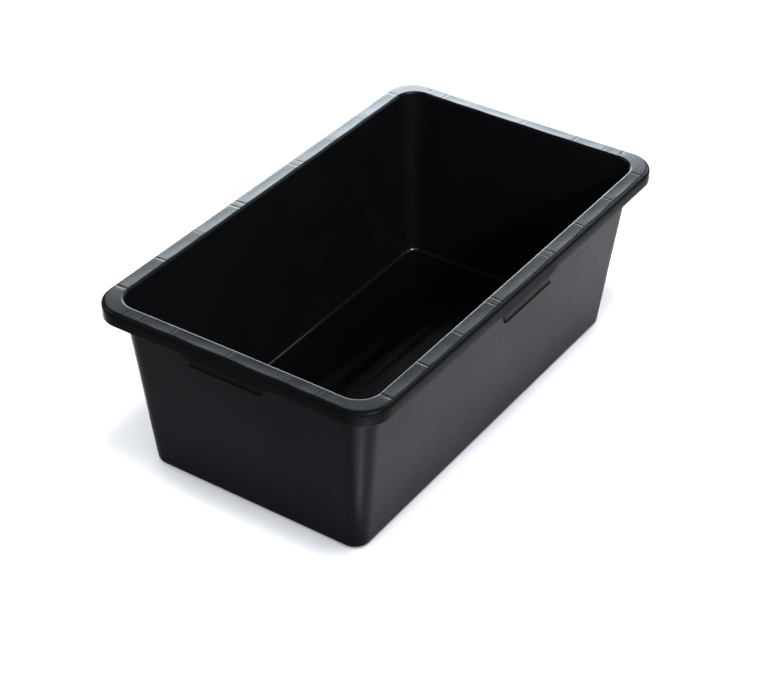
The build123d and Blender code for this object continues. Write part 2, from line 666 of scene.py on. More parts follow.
@dataclass
class Loft:
    """A skin over a stack of rings that all have the same stations."""

    MAP_NAME = "way_round"

    rings: list[list[Vector]]
    closed: bool = False  # the last ring joins the first one
    first_pole: Vector | None = None
    last_pole: Vector | None = None
    mapped: bool = False

    def mesh(self, name: str, finishes: Sequence[bpy.types.Material] = ()) -> bpy.types.Mesh:
        """Builds the skin. Rings that run outward, up, inward and down give outward faces.

        Args:
            name: The mesh's name.
            finishes: Its materials.

        Returns:
            The new mesh.
        """
        count, stack = len(self.rings[0]), len(self.rings)
        vertices = [point for ring in self.rings for point in ring]
        faces = []
        for row in range(stack if self.closed else stack - 1):
            here, there = row * count, (row + 1) % stack * count
            for column in range(count):
                after = (column + 1) % count
                faces.append((here + column, here + after, there + after, there + column))
        last = (stack - 1) * count
        if self.first_pole is not None:
            faces += [(len(vertices), (k + 1) % count, k) for k in range(count)]
            vertices.append(self.first_pole)
        if self.last_pole is not None:
            faces += [(len(vertices), last + k, last + (k + 1) % count) for k in range(count)]
            vertices.append(self.last_pole)
        mesh = bpy.data.meshes.new(name)
        mesh.from_pydata([tuple(vertex) for vertex in vertices], [], faces)
        if self.mapped:
            self._map(mesh, count)
        for finish in finishes:
            mesh.materials.append(finish)
        return mesh

    def _map(self, mesh: bpy.types.Mesh, count: int) -> None:
        """Writes distance round and distance across, in metres, as a UV map.

        Args:
            mesh: The skin, whose faces are in rows.
            count: Stations in a ring.
        """
        middle = self.rings[len(self.rings) // 2]
        round_it = self._distances(middle)
        over_it = self._distances([ring[0] for ring in self.rings])
        layer = mesh.uv_layers.new(name=self.MAP_NAME)
        for face in range(len(mesh.polygons)):
            row, column = divmod(face, count)
            corners = ((column, row), (column + 1, row), (column + 1, row + 1), (column, row + 1))
            for corner, (across, up) in enumerate(corners):
                layer.data[4 * face + corner].uv = (round_it[across], over_it[up])

    @staticmethod
    def _distances(points: Sequence[Vector]) -> list[float]:
        """Measures along a closed line.

        Args:
            points: The line's points.

        Returns:
            How far each point lies from the first, and then the line's whole length.
        """
        lengths = [0.0]
        for here, there in zip(points, [*points[1:], points[0]]):
            lengths.append(lengths[-1] + (there - here).length)
        return lengths


def arc(centre: Pair, radii: Pair, start: float, end: float, steps: int) -> list[Vector]:
    """Points on part of an ellipse.

    Args:
        centre: Its centre.
        radii: Half sizes along the two axes.
        start: First angle in degrees, anticlockwise from the first axis.
        end: Last angle.
        steps: Stretches that it is cut into.

    Returns:
        The points, both ends among them.
    """
    angles = [radians(start + (end - start) * step / steps) for step in range(steps + 1)]
    return [
        Vector(centre) + Vector((radii[0] * cos(angle), radii[1] * sin(angle))) for angle in angles
    ]


@dataclass(frozen=True)
class Settling:
    """How the moulding has pulled out of square on cooling. It never grows past its full size."""

    half_length: float
    half_width: float
    top: float
    front_sag: float = 2.4 * MM  # the front rim's middle below its ends
    back_sag: float = 0.8 * MM
    end_pull: float = 2.0 * MM  # the left and right rims' middles, in towards the tub's middle

    def apply(self, mesh: bpy.types.Mesh) -> None:
        """Moves a piece's points.

        Args:
            mesh: The piece, which is changed.
        """
        for vertex in mesh.vertices:
            place = vertex.co
            rise = (place.z / self.top) ** 2
            along, across = place.x / self.half_length, place.y / self.half_width
            sag = self.front_sag if across < 0 else self.back_sag
            place.z -= sag * rise * max(1 - along * along, 0.0) * across * across
            place.x -= self.end_pull * rise * max(1 - across * across, 0.0) * along**3


def add_object(name: str, data: bpy.types.ID) -> bpy.types.Object:
    """Puts a mesh, a light or a camera into the scene.

    Args:
        name: The object's name.
        data: What it shows.

    Returns:
        The object.
    """
    made = bpy.data.objects.new(name, data)
    bpy.context.scene.collection.objects.link(made)
    return made


def finish_piece(mesh: bpy.types.Mesh, name: str, slot: Slot, node: str) -> None:
    """Makes a mesh a shown piece of the tub.

    Args:
        mesh: Its mesh, in place and with its materials.
        name: The piece's name.
        slot: The record's slot of the piece. Not used.
        node: The CAD node that it replaces.
    """
    Settling(*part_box("rim_flange")[1]).apply(mesh)
    mesh.shade_smooth()
    mesh.set_sharp_from_angle(angle=SHARP_FROM)
    mesh.name = name
    piece = add_object(name, mesh)
    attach(piece, ROOT_BODY)
    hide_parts(node)
    LOG.info("%s: %d faces", name, len(mesh.polygons))


class Rule:
    """A Geometry Nodes tree with named inputs, run on a mesh and turned into a plain one."""

    def __init__(self, name: str, values: dict[str, float | bpy.types.Material]) -> None:
        """Starts the tree and its inputs.

        Args:
            name: The tree's name.
            values: Its inputs, numbers and materials, by name.
        """
        self.values = values
        self.tree = bpy.data.node_groups.new(name, "GeometryNodeTree")
        self.board = Board(self.tree)
        face = self.tree.interface
        for way in ("INPUT", "OUTPUT"):
            face.new_socket("Geometry", in_out=way, socket_type="NodeSocketGeometry")
        for label, value in values.items():
            kind = "Float" if isinstance(value, float) else "Material"
            face.new_socket(label, in_out="INPUT", socket_type=f"NodeSocket{kind}")
        self.given = self.board.add("NodeGroupInput")

    def __getitem__(self, name: str) -> Wire:
        """One named input."""
        return self.given.out(name)

    def attribute(self, name: str, kind: str = "FLOAT") -> Wire:
        """One named attribute of the mesh."""
        return self.board.add("GeometryNodeInputNamedAttribute", {"Name": name}, data_type=kind).out()

    def vector(self, x: Wire | float, y: Wire | float, z: Wire | float) -> Wire:
        """A vector from three values."""
        return self.board.add("ShaderNodeCombineXYZ", {0: x, 1: y, 2: z}).out()

    def vectors(self, operation: str, first: Wire, second: Wire) -> Wire:
        """Two vectors put together by a Vector Math node."""
        return self.board.add("ShaderNodeVectorMath", {0: first, 1: second}, operation=operation).out()

    def scaled(self, vector: Wire, by: Wire | float) -> Wire:
        """A vector times a value."""
        return self.board.add("ShaderNodeVectorMath", {0: vector, "Scale": by}, operation="SCALE").out()

    def end(self, geometry: Wire, finishes: dict[str, Wire | bool]) -> None:
        """Closes the tree with Realize Instances and Set Material.

        Args:
            geometry: The finished shape.
            finishes: The faces that each material input goes on.
        """
        geometry = self.board.add("GeometryNodeRealizeInstances", {0: geometry}).out()
        for label, where in finishes.items():
            inputs = {"Geometry": geometry, "Selection": where, "Material": self[label]}
            geometry = self.board.add("GeometryNodeSetMaterial", inputs).out()
        self.board.add("NodeGroupOutput", {0: geometry})

    def run(self, mesh: bpy.types.Mesh) -> bpy.types.Mesh:
        """Runs the tree on a mesh.

        Args:
            mesh: What the tree starts from.

        Returns:
            The result as a mesh of its own.
        """
        carrier = add_object("carrier", mesh)
        modifier = carrier.modifiers.new("rule", "NODES")
        modifier.node_group = self.tree
        for item in self.tree.interface.items_tree:
            if item.in_out == "INPUT" and item.name in self.values:
                modifier[item.identifier] = self.values[item.name]
        bpy.context.view_layer.update()
        shown = carrier.evaluated_get(bpy.context.evaluated_depsgraph_get())
        made = bpy.data.meshes.new_from_object(shown)
        carrier.modifiers.remove(modifier)
        bpy.data.objects.remove(carrier)
        return made


def turn_outward(mesh: bpy.types.Mesh) -> None:
    """Makes every face of a closed mesh point outwards, its doubles merged first.

    Args:
        mesh: The mesh, which is changed.
    """
    work = bmesh.new()
    work.from_mesh(mesh)
    bmesh.ops.remove_doubles(work, verts=work.verts, dist=1e-6)
    bmesh.ops.recalc_face_normals(work, faces=work.faces)
    work.to_mesh(mesh)
    work.free()


def round_edges(
    mesh: bpy.types.Mesh, chosen: Callable[[bmesh.types.BMEdge], bool], radius: float, steps: int = 3
) -> None:
    """Rounds some edges of a mesh.

    Args:
        mesh: The mesh, which is changed.
        chosen: Says whether an edge is to be rounded.
        radius: How far the rounding reaches from the edge.
        steps: Stretches that the rounding is cut into.
    """
    work = bmesh.new()
    work.from_mesh(mesh)
    edges = [edge for edge in work.edges if chosen(edge)]
    bmesh.ops.bevel(
        work, geom=edges, offset=radius, segments=steps, profile=0.5, affect="EDGES", clamp_overlap=True
    )
    work.to_mesh(mesh)
    work.free()


def outwardness(face: bpy.types.MeshPolygon) -> float:
    """Above zero where a face looks away from the tub's middle, below zero where towards it."""
    return face.normal.x * face.center.x + face.normal.y * face.center.y


# --- Pieces ---


@dataclass
class FloorPan:
    """The flat floor with its rounded, upturned edge, as high as the joint to the walls."""

    sizes: TubSizes
    finishes: Finishes
    floor: float = 3 * MM
    foot_round: float = 8 * MM
    cavity_round: float = 6 * MM
    round_steps: int = 8
    gate_radius: float = 9 * MM
    gate_depth: float = 0.7 * MM
    gate_nub: float = 0.4 * MM
    flat_shares: tuple[float, ...] = (0.12, 0.3, 0.5, 0.7, 0.86)
    spacing: float = 14 * MM

    def round_off(self, level: float, radius: float, inset: float) -> list[Outline]:
        """Outlines of a rounding between a level face and the sloping wall.

        Args:
            level: The level face's height.
            radius: The rounding's radius.
            inset: The wall face's distance in from the outer face.

        Returns:
            The outlines, from the level face to the wall.
        """
        lean = degrees(atan2(self.sizes.wall_slope, 1.0))
        reach = radius / tan(radians(90 + lean) / 2)
        centre = (inset + reach, level + radius)
        outlines = []
        for point in arc(centre, (-radius, radius), -90, -lean, self.round_steps):
            start = self.sizes.wall_half(0.0, level) - self.sizes.wall_half(0.0, point.y)
            outlines.append(Outline.of_body(self.sizes, point.y, point.x - start))
        return outlines

    def build(self) -> None:
        """Makes the pan: out along the underside, up, and back in over the floor."""
        sizes, finishes = self.sizes, self.finishes
        foot = self.round_off(0.0, self.foot_round, 0.0)
        hollow = self.round_off(self.floor, self.cavity_round, sizes.wall)
        edge = [Outline.of_body(sizes, sizes.pan_joint, inset) for inset in (0.0, sizes.wall)]
        circuit = Circuit.even(edge[0], self.spacing)
        rings = [circuit.ring(outline) for outline in foot + edge + hollow[::-1]]
        under = [self.shrunk(rings[0], share) for share in reversed(self.flat_shares)]
        inside = [self.shrunk(rings[-1], share) for share in self.flat_shares]
        nub = self.gate_depth - self.gate_nub
        steps = ((0.3, nub), (0.36, self.gate_depth), (0.9, self.gate_depth), (1.0, 0.0), (1.3, 0.0))
        gate = [self.disc(rings[0], foot[0], share * self.gate_radius, level) for share, level in steps]
        poles = (Vector((0.0, 0.0, level)) for level in (nub, self.floor))
        skin = Loft(gate + under + rings + inside, False, *poles)
        mesh = skin.mesh(
            "floor_pan_skin", (finishes.foot, finishes.outer_wall, finishes.floor, finishes.cavity_edge)
        )
        for face in mesh.polygons:
            if face.normal.z > -0.5:
                face.material_index = self.cavity_slot(face) if self.faces_cavity(face) else 1
        finish_piece(mesh, "floor_pan_moulded", Slot.BODY, "floor_pan")

    @staticmethod
    def cavity_slot(face: bpy.types.MeshPolygon) -> int:
        """The material slot of a face inside the tub: flat floor or rounded edge."""
        return 2 if face.normal.z > 0.995 else 3

    def faces_cavity(self, face: bpy.types.MeshPolygon) -> bool:
        """Whether a face looks into the tub."""
        return face.normal.z > 0.5 or (outwardness(face) < 0 and face.center.z > self.floor)

    @staticmethod
    def shrunk(ring: Sequence[Vector], share: float) -> list[Vector]:
        """A ring drawn in towards the tub's middle by a share of its size."""
        return [Vector((point.x * (1 - share), point.y * (1 - share), point.z)) for point in ring]

    @staticmethod
    def disc(ring: Sequence[Vector], outline: Outline, radius: float, level: float) -> list[Vector]:
        """A round ring with the same stations as a rounded rectangle.

        Args:
            ring: The rounded rectangle's points.
            outline: The rounded rectangle.
            radius: The round ring's radius.
            level: Its level.

        Returns:
            Its points.
        """
        points = []
        for point in ring:
            across, up = point.x / outline.half_length, point.y / outline.half_width
            size = radius / hypot(across, up)
            points.append(Vector((across * size, up * size, level)))
        return points


@dataclass
class SideWalls:
    """The tapered walls, with the thicker collar at their top."""

    sizes: TubSizes
    finishes: Finishes
    spacing: float = 10 * MM
    level_spacing: float = 12 * MM
    waviness: float = 0.45 * MM
    wave_size: float = 170 * MM
    step_start: float = 0.3 * MM  # the collar's step, above its foot
    step_end: float = 1.2 * MM

    def profile(self) -> list[Pair]:
        """Level and inset of each ring: up outside, over the top, down inside.

        Returns:
            The pairs, in order.
        """
        sizes = self.sizes
        foot, proud = sizes.collar_foot, -sizes.collar_step
        count = round((foot - sizes.pan_joint) / self.level_spacing)
        rise = (foot - self.step_end - sizes.pan_joint) / count
        low = [sizes.pan_joint + rise * step for step in range(count + 1)]
        high = [foot + self.step_end, sizes.skirt_foot, sizes.cap_joint, sizes.rim_underside]
        outside = [(level, 0.0) for level in low] + [(foot, 0.0), (foot + self.step_start, 0.6 * proud)]
        outside += [(level, proud) for level in high]
        return outside + [(level, sizes.wall) for level in reversed(low + high)]

    def blank(self, circuit: Circuit) -> bpy.types.Mesh:
        """The flat start of the walls, with what the rule needs at each point.

        Args:
            circuit: The way round.

        Returns:
            The mesh, with its attributes.
        """
        profile, steps = self.profile(), list(circuit.steps())
        rings, runs, headings, levels, insets = [], [], [], [], []
        for level, inset in profile:
            rings.append([])
            for side, turn, station in steps:
                reference = circuit.long_run if side.is_long else circuit.short_run
                share = 1.0 if station is None else station / reference
                run = side.heading + share * side.direction
                runs.extend(run)
                headings.extend(cos(turn) * side.heading + sin(turn) * side.direction)
                levels.append(level)
                insets.append(inset)
                rings[-1].append(Vector((run.x, run.y, level)))
        mesh = Loft(rings, closed=True).mesh("wall_blank")
        for name, kind, key, values in (
            ("run", "FLOAT_VECTOR", "vector", runs),
            ("heading", "FLOAT_VECTOR", "vector", headings),
            ("level", "FLOAT", "value", levels),
            ("inset", "FLOAT", "value", insets),
        ):
            mesh.attributes.new(name, kind, "POINT").data.foreach_set(key, values)
        inner_rows = range(len(profile) // 2, len(profile) - 1)
        inner = [row in inner_rows for row in range(len(profile)) for _ in steps]
        mesh.attributes.new("inside", "BOOLEAN", "FACE").data.foreach_set("value", inner)
        return mesh

    def rule(self, top: Outline) -> Rule:
        """The tree that draws the walls: taper, growing corners and a slight waviness.

        Args:
            top: The walls' outline at the rim's top.

        Returns:
            The tree.
        """
        sizes = self.sizes
        values = {
            "Half Length": top.half_length,
            "Half Width": top.half_width,
            "Height": sizes.top,
            "Slope": sizes.wall_slope,
            "Corner At Top": sizes.corner_at_top,
            "Corner At Foot": sizes.corner_at_foot,
            "Flat Below": sizes.pan_joint,
            "Flat Above": sizes.collar_foot,
            "Waviness": self.waviness,
            "Wave Size": self.wave_size,
            "Outside": self.finishes.outer_wall,
            "Inside": self.finishes.inner_wall,
        }
        rule = Rule("tapered_wall", values)
        level, inset = rule.attribute("level"), rule.attribute("inset")
        run, heading = (rule.attribute(name, "FLOAT_VECTOR") for name in ("run", "heading"))
        inward = (rule["Height"] - level) * rule["Slope"] + inset
        growth = rule["Corner At Top"] - rule["Corner At Foot"]
        corner = rule["Corner At Foot"] + growth * level / rule["Height"] - inset
        straight = rule.vector(
            rule["Half Length"] - inward - corner, rule["Half Width"] - inward - corner, 0.0
        )
        place = rule.vectors(
            "ADD", rule.vectors("MULTIPLY", run, straight), rule.scaled(heading, corner)
        )
        up = rule.vector(0.0, 0.0, level)
        rise = (level - rule["Flat Below"]) / (rule["Flat Above"] - rule["Flat Below"])
        fade = rule.board.clamped(rise * (1 - rise) * 4.0)
        wave = rule.board.noise(rule.vectors("ADD", place, up), rule["Wave Size"], 1.0, 2.6)
        swell = (wave - 0.5) * 2.0 * rule["Waviness"] * fade
        raised = rule.vectors("ADD", rule.vectors("ADD", place, rule.scaled(heading, swell)), up)
        shape = {"Geometry": rule["Geometry"], "Position": raised}
        shaped = rule.board.add("GeometryNodeSetPosition", shape).out()
        rule.end(shaped, {"Outside": True, "Inside": rule.attribute("inside", "BOOLEAN")})
        return rule

    def build(self) -> None:
        """Makes the walls."""
        top = Outline.of_body(self.sizes, self.sizes.top)
        mesh = self.rule(top).run(self.blank(Circuit.even(top, self.spacing)))
        for name in ("run", "heading", "level", "inset", "inside"):
            mesh.attributes.remove(mesh.attributes[name])
        finish_piece(mesh, "side_walls_moulded", Slot.BODY, "side_walls")


@dataclass
class RimFlange:
    """The flat band round the mouth, rounded at both edges, with sink marks over the ribs."""

    sizes: TubSizes
    finishes: Finishes
    rib_marks: tuple[Sequence[float], Sequence[float]]  # on a long side and on a short side
    edge_round: float = 6.5 * MM
    mouth_round: float = 3 * MM
    hollow_round: float = 3 * MM
    droop: float = 2.1  # degrees that the band falls away towards its outer edge
    mark_depth: float = 0.34 * MM
    mark_spread: Pair = (0.45, 1.3)  # the shallowest and the deepest mark, as shares of that
    mark_width: float = 1.6 * MM
    sag: float = 0.60 * MM  # how far the band sinks between two ribs
    full_sag_bay: float = 60 * MM  # ribs closer than this leave a shallower sag
    soft_top: float = 1.5 * MM  # only this much of the rim's top sinks
    band_steps: int = 10
    spacing: float = 7 * MM
    fine_spacing: float = 0.9 * MM
    seed: int = 11

    def outlines(self) -> list[Outline]:
        """The rim's section, ring by ring: up outside, in over the band, down into the mouth.

        Returns:
            The outlines, in order.
        """
        sizes, edge, mouth, hollow = self.sizes, self.edge_round, self.mouth_round, self.hollow_round
        fall = (sizes.rim_reach - edge) * tan(radians(self.droop))
        cap = arc((0, sizes.top - edge), (edge, edge - fall), 0, 90 - self.droop, 10)
        outer = [Outline.of_rim(sizes, sizes.cap_joint)]
        outer += [Outline.of_rim(sizes, point.y, edge - point.x) for point in cap]
        shares = [1 - step / self.band_steps for step in range(1, self.band_steps + 1)]
        band = [Outline.of_body(sizes, sizes.top).blend(outer[-1], share) for share in shares]
        turn = arc((0, sizes.top - mouth), (mouth, mouth), 82, 6, 7)
        inner = [
            replace(Outline.of_body(sizes, sizes.top, point.x), level=point.y) for point in turn
        ]
        inner += [
            Outline.of_body(sizes, sizes.rim_underside + rise, sizes.wall) for rise in (0.5 * MM, 0.0)
        ]
        under = [Outline.of_body(sizes, sizes.rim_underside, -sizes.collar_step)]
        under += [
            Outline.of_rim(sizes, point.y, sizes.skirt + hollow - point.x)
            for point in arc((0, sizes.rim_underside - hollow), (hollow, hollow), 90, 0, 4)
        ]
        under.append(Outline.of_rim(sizes, sizes.cap_joint, sizes.skirt))
        return outer + band + inner + under

    def sink(self, point: Vector, strengths: dict[tuple[bool, bool, float], float]) -> float:
        """How far the band lies below its plain shape at a point.

        Args:
            point: Where on the band.
            strengths: How deep each mark is, by side and place.

        Returns:
            The depth in metres.
        """
        sizes = self.sizes
        across_y = abs(point.y) - sizes.wall_half(sizes.half_width, sizes.top)
        across_x = abs(point.x) - sizes.wall_half(sizes.half_length, sizes.top)
        on_long = across_y > across_x
        across, along = (across_y, point.x) if on_long else (across_x, point.y)
        facing = (point.y if on_long else point.x) > 0
        width = sizes.rim_reach - self.edge_round
        share = (across + self.mouth_round) / (width + 2 * self.mouth_round)
        marks = self.rib_marks[0 if on_long else 1]
        depth = 0.0
        for mark in marks:
            away = (along - mark) / self.mark_width
            if abs(away) < 4:
                depth += self.mark_depth * strengths[on_long, facing, mark] * exp(-away * away)
        for low, high in zip(marks, marks[1:]):
            if low < along < high:
                bow = sin(pi * (along - low) / (high - low))
                depth += self.sag * bow * min((high - low) / self.full_sag_bay, 1.0)
        return depth * sin(pi * min(max(share, 0.0), 1.0)) ** 0.5

    def build(self) -> None:
        """Makes the rim's top."""
        runs = Outline.of_rim(self.sizes, self.sizes.top).runs
        circuit = Circuit.close_at(runs, self.rib_marks, self.spacing, self.fine_spacing)
        rings = [circuit.ring(outline) for outline in self.outlines()]
        chance = random.Random(self.seed)
        strengths = {
            (on_long, facing, mark): chance.uniform(*self.mark_spread)
            for on_long, marks in zip((True, False), self.rib_marks)
            for facing in (False, True)
            for mark in marks
        }
        for ring in rings:
            if ring[0].z > self.sizes.top - self.soft_top:
                for point in ring:
                    point.z -= self.sink(point, strengths)
        skin = Loft(rings, closed=True, mapped=True)
        mesh = skin.mesh("rim_skin", (self.finishes.rim, self.finishes.skirt))
        for face in mesh.polygons:
            face.material_index = int(self.faces_out(face))
        finish_piece(mesh, "rim_band_moulded", Slot.RIM, "rim_flange")

    @staticmethod
    def faces_out(face: bpy.types.MeshPolygon) -> bool:
        """Whether a face belongs to the outer rounding, which is as dull as the skirt."""
        return face.normal.z < 0.85 and outwardness(face) > 0


@dataclass
class RimSkirt:
    """The upright band that hangs from the rim, swept round the rim's outline."""

    sizes: TubSizes
    finishes: Finishes
    grip_half_lengths: Pair  # of the grips on a long side and on a short side
    edge_round: float = 0.3 * MM
    spacing: float = 12 * MM

    def rule(self, depth: float) -> Rule:
        """The tree that sweeps an upright strip along the path.

        Args:
            depth: The strip's height.

        Returns:
            The tree.
        """
        values = {"Thickness": self.sizes.skirt, "Depth": depth, "Finish": self.finishes.skirt}
        rule = Rule("swept_band", values)
        add = rule.board.add
        path = add("GeometryNodeMeshToCurve", {0: rule["Geometry"]}).out()
        path = add("GeometryNodeSetCurveNormal", {0: path}, mode="Z_UP").out()
        size = {"Width": rule["Thickness"], "Height": rule["Depth"]}
        section = add("GeometryNodeCurvePrimitiveQuadrilateral", size, mode="RECTANGLE").out()
        band = add("GeometryNodeCurveToMesh", {"Curve": path, "Profile Curve": section}).out()
        rule.end(band, {"Finish": True})
        return rule

    def build(self) -> None:
        """Makes the skirt, and rounds its lower edge where no grip hangs from it."""
        sizes = self.sizes
        depth = sizes.cap_joint - sizes.skirt_foot
        middle = Outline.of_rim(sizes, sizes.skirt_foot + depth / 2, sizes.skirt / 2)
        points = [tuple(point) for point in Circuit.even(middle, self.spacing).ring(middle)]
        path = bpy.data.meshes.new("skirt_path")
        path.from_pydata(points, [(k, (k + 1) % len(points)) for k in range(len(points))], [])
        mesh = self.rule(depth).run(path)
        turn_outward(mesh)
        round_edges(mesh, self.is_free_edge, self.edge_round)
        finish_piece(mesh, "rim_skirt_moulded", Slot.RIM, "rim_skirt")

    def is_free_edge(self, edge: bmesh.types.BMEdge) -> bool:
        """Whether an edge runs along the skirt's foot, clear of the grips.

        Args:
            edge: An edge of the skirt.

        Returns:
            Whether it is one to round.
        """
        ends = [vertex.co for vertex in edge.verts]
        if max(end.z for end in ends) > self.sizes.skirt_foot + 0.1 * MM:
            return False
        if min(abs(face.normal.z) for face in edge.link_faces) > 0.5:
            return False
        long_grip, short_grip = self.grip_half_lengths
        inner_x = self.sizes.half_length - 2 * self.sizes.skirt
        inner_y = self.sizes.half_width - 2 * self.sizes.skirt
        return not any(
            (abs(end.y) > inner_y and abs(end.x) < long_grip)
            or (abs(end.x) > inner_x and abs(end.y) < short_grip)
            for end in ends
        )


@dataclass
class HandGrip:
    """One plate that hangs below the skirt at the middle of a side."""

    sizes: TubSizes
    finishes: Finishes
    side: Side
    name: str
    drop: float
    half_top: float
    flare_length: float = 10 * MM
    flare_drop: float = 3.5 * MM
    draw_in: float = 3 * MM
    corner_round: float = 1.5 * MM
    edge_round: float = 0.5 * MM
    columns: int = 12  # in half of the grip's length
    bead_height: float = 2.6 * MM  # the lower edge stands out from the scooped face like a bead
    scoop: float = 1.1 * MM

    @classmethod
    def at(cls, sizes: TubSizes, finishes: Finishes, side: Side) -> "HandGrip":
        """The grip of one side, sized from its CAD node.

        Args:
            sizes: The tub's sizes.
            finishes: The tub's finishes.
            side: The side that it hangs on.

        Returns:
            The grip.
        """
        name = f"grip_{side.name.lower()}"
        low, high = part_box(name)
        return cls(sizes, finishes, side, name, high.z - low.z, high.x if side.is_long else high.y)

    def outline(self) -> list[Vector]:
        """Half of the grip's face, from its lower middle to its upper end.

        Returns:
            Points with the distance along the side first and the level second.
        """
        top, radius = self.sizes.skirt_foot, self.corner_round
        upper = Vector((self.half_top - self.flare_length, top - self.flare_drop))
        lower = Vector((upper.x - self.draw_in, top - self.drop))
        lean = (upper - lower).normalized()
        centre = lower + radius * Vector((-1.0, 1.0)) * 0.92
        turn = arc(centre, (radius, radius), -90, degrees(atan2(-lean.x, lean.y)), 4)
        return turn + [upper, Vector((self.half_top, top))]

    def rows(self) -> list[Pair]:
        """Level and half length of each row of the grip's face, from the lower edge up.

        Returns:
            The rows.
        """
        half = self.outline()
        foot = half[0].y
        levels = {point.y for point in half}
        levels |= {foot + self.bead_height * step / 8 for step in range(9)}
        levels |= {foot + self.drop * step / 8 for step in range(3, 8)}
        rows = []
        for level in sorted(levels):
            for low, high in zip(half, half[1:]):
                if low.y <= level <= high.y:
                    share = (level - low.y) / (high.y - low.y)
                    rows.append((level, low.x + (high.x - low.x) * share))
                    break
        return rows

    def points(self, rows: Sequence[Pair]) -> list[Triple]:
        """The plate's points: its outer face row by row, then its inner face.

        Args:
            rows: Level and half length of each row.

        Returns:
            The points.
        """
        points = []
        for on_back in (False, True):
            for level, reach in rows:
                depth = self.sizes.skirt if on_back else self.scooped(level)
                outward = self.sizes.across(self.side) - depth
                for column in range(2 * self.columns + 1):
                    along = reach * (column / self.columns - 1)
                    place = outward * self.side.heading + along * self.side.direction
                    points.append((place.x, place.y, level))
        return points

    def faces(self, rows: int) -> list[tuple[int, ...]]:
        """The plate's faces: outer and inner face, then its edge all round.

        Args:
            rows: How many rows of points a face has.

        Returns:
            The faces.
        """
        columns = 2 * self.columns + 1
        size = rows * columns
        faces = []
        for row in range(rows - 1):
            for here in range(row * columns, (row + 1) * columns - 1):
                above = here + columns
                faces.append((here, here + 1, above + 1, above))
                faces.append((here + size, above + size, above + size + 1, here + size + 1))
        border = list(range(columns))
        border += [row * columns + columns - 1 for row in range(1, rows)]
        border += [size - 1 - column for column in range(1, columns)]
        border += [row * columns for row in range(rows - 2, 0, -1)]
        for here, there in zip(border, border[1:] + border[:1]):
            faces.append((here, here + size, there + size, there))
        return faces

    def build(self) -> None:
        """Makes the grip."""
        rows = self.rows()
        mesh = bpy.data.meshes.new(self.name)
        mesh.from_pydata(self.points(rows), [], self.faces(len(rows)))
        mesh.materials.append(self.finishes.grip)
        turn_outward(mesh)
        round_edges(mesh, self.is_lower_edge, self.edge_round)
        finish_piece(mesh, f"{self.name}_moulded", Slot.RIM, self.name)

    def scooped(self, level: float) -> float:
        """How far the grip's face lies behind the skirt's at a level.

        Args:
            level: A height on the grip.

        Returns:
            The distance.
        """
        above = level - (self.sizes.skirt_foot - self.drop)
        if above < self.bead_height:
            return self.scoop * sin(pi / 2 * above / self.bead_height) ** 2
        share = (above - self.bead_height) / (self.drop - self.bead_height)
        return self.scoop * cos(pi / 2 * share) ** 2

    def is_lower_edge(self, edge: bmesh.types.BMEdge) -> bool:
        """Whether an edge runs round the grip's free outline, on either face of the plate.

        Args:
            edge: An edge of the grip.

        Returns:
            Whether it is one to round.
        """
        along = edge.verts[1].co - edge.verts[0].co
        limit = self.sizes.skirt_foot - self.flare_drop - 0.1 * MM
        in_face = abs(along.dot(self.side.heading)) <= 0.5 * along.length
        return in_face and all(vertex.co.z < limit for vertex in edge.verts)


